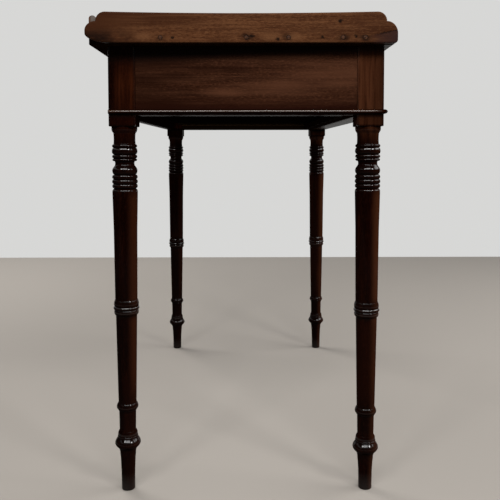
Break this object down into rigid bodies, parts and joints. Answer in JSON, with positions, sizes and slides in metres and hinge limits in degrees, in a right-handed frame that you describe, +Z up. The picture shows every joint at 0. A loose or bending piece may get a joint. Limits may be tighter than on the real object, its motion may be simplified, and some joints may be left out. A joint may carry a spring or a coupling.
{
  "type": "writing table",
  "caption": "Writing table with a low three-quarter gallery, a beaded frieze with one long drawer, and ring-turned tapering legs.",
  "frame": {"origin": "middle of the table's bounding box, on the floor", "axes": "+Z up, +X along the length of the table, -Y towards the front with the drawer"},
  "size_m": [0.9, 0.4986, 0.7837],
  "materials": {
    "gallery_mahogany": "worn wax polish",
    "frieze_mahogany": "wax polish",
    "leg_mahogany": "dark polish",
    "carcase_pine": "bare",
    "drawer_oak": "bare"
  },
  "bodies": {
    "table": {"top_board": "gallery_mahogany", "gallery_end_left": "gallery_mahogany", "gallery_end_right": "gallery_mahogany", "gallery_back": "gallery_mahogany", "gallery_peg_left_1": "leg_mahogany", "gallery_peg_left_2": "leg_mahogany", "gallery_peg_left_3": "leg_mahogany", "gallery_peg_left_4": "leg_mahogany", "gallery_peg_left_5": "leg_mahogany", "gallery_peg_right_1": "leg_mahogany", "gallery_peg_right_2": "leg_mahogany", "gallery_peg_right_3": "leg_mahogany", "gallery_peg_right_4": "leg_mahogany", "gallery_peg_right_5": "leg_mahogany", "gallery_peg_back_1": "leg_mahogany", "gallery_peg_back_2": "leg_mahogany", "gallery_peg_back_3": "leg_mahogany", "gallery_peg_back_4": "leg_mahogany", "leg_front_left": "leg_mahogany", "leg_front_right": "leg_mahogany", "leg_back_left": "leg_mahogany", "leg_back_right": "leg_mahogany", "end_rail_left": "frieze_mahogany", "end_rail_right": "frieze_mahogany", "back_rail": "frieze_mahogany", "front_top_rail": "frieze_mahogany", "front_lower_rail": "frieze_mahogany", "bead_front": "frieze_mahogany", "bead_left": "frieze_mahogany", "bead_right": "frieze_mahogany", "runner_left": "carcase_pine", "runner_right": "carcase_pine", "guide_left": "carcase_pine", "guide_right": "carcase_pine", "kicker_left": "carcase_pine", "kicker_right": "carcase_pine", "drawer_stop_left": "carcase_pine", "drawer_stop_right": "carcase_pine", "glue_block_1": "carcase_pine", "glue_block_2": "carcase_pine", "glue_block_3": "carcase_pine"},
    "drawer": {"drawer_front": "frieze_mahogany", "drawer_side_left": "drawer_oak", "drawer_side_right": "drawer_oak", "drawer_back": "drawer_oak", "drawer_bottom": "drawer_oak", "cockbead_top": "frieze_mahogany", "cockbead_bottom": "frieze_mahogany", "cockbead_left": "frieze_mahogany", "cockbead_right": "frieze_mahogany", "knob_left": "leg_mahogany", "knob_right": "leg_mahogany"}
  },
  "joints": [
    {"name": "drawer_slide", "type": "slide", "parent": "table", "child": "drawer", "axis": [0, -1, 0], "range_m": [0, 0.3]}
  ]
}
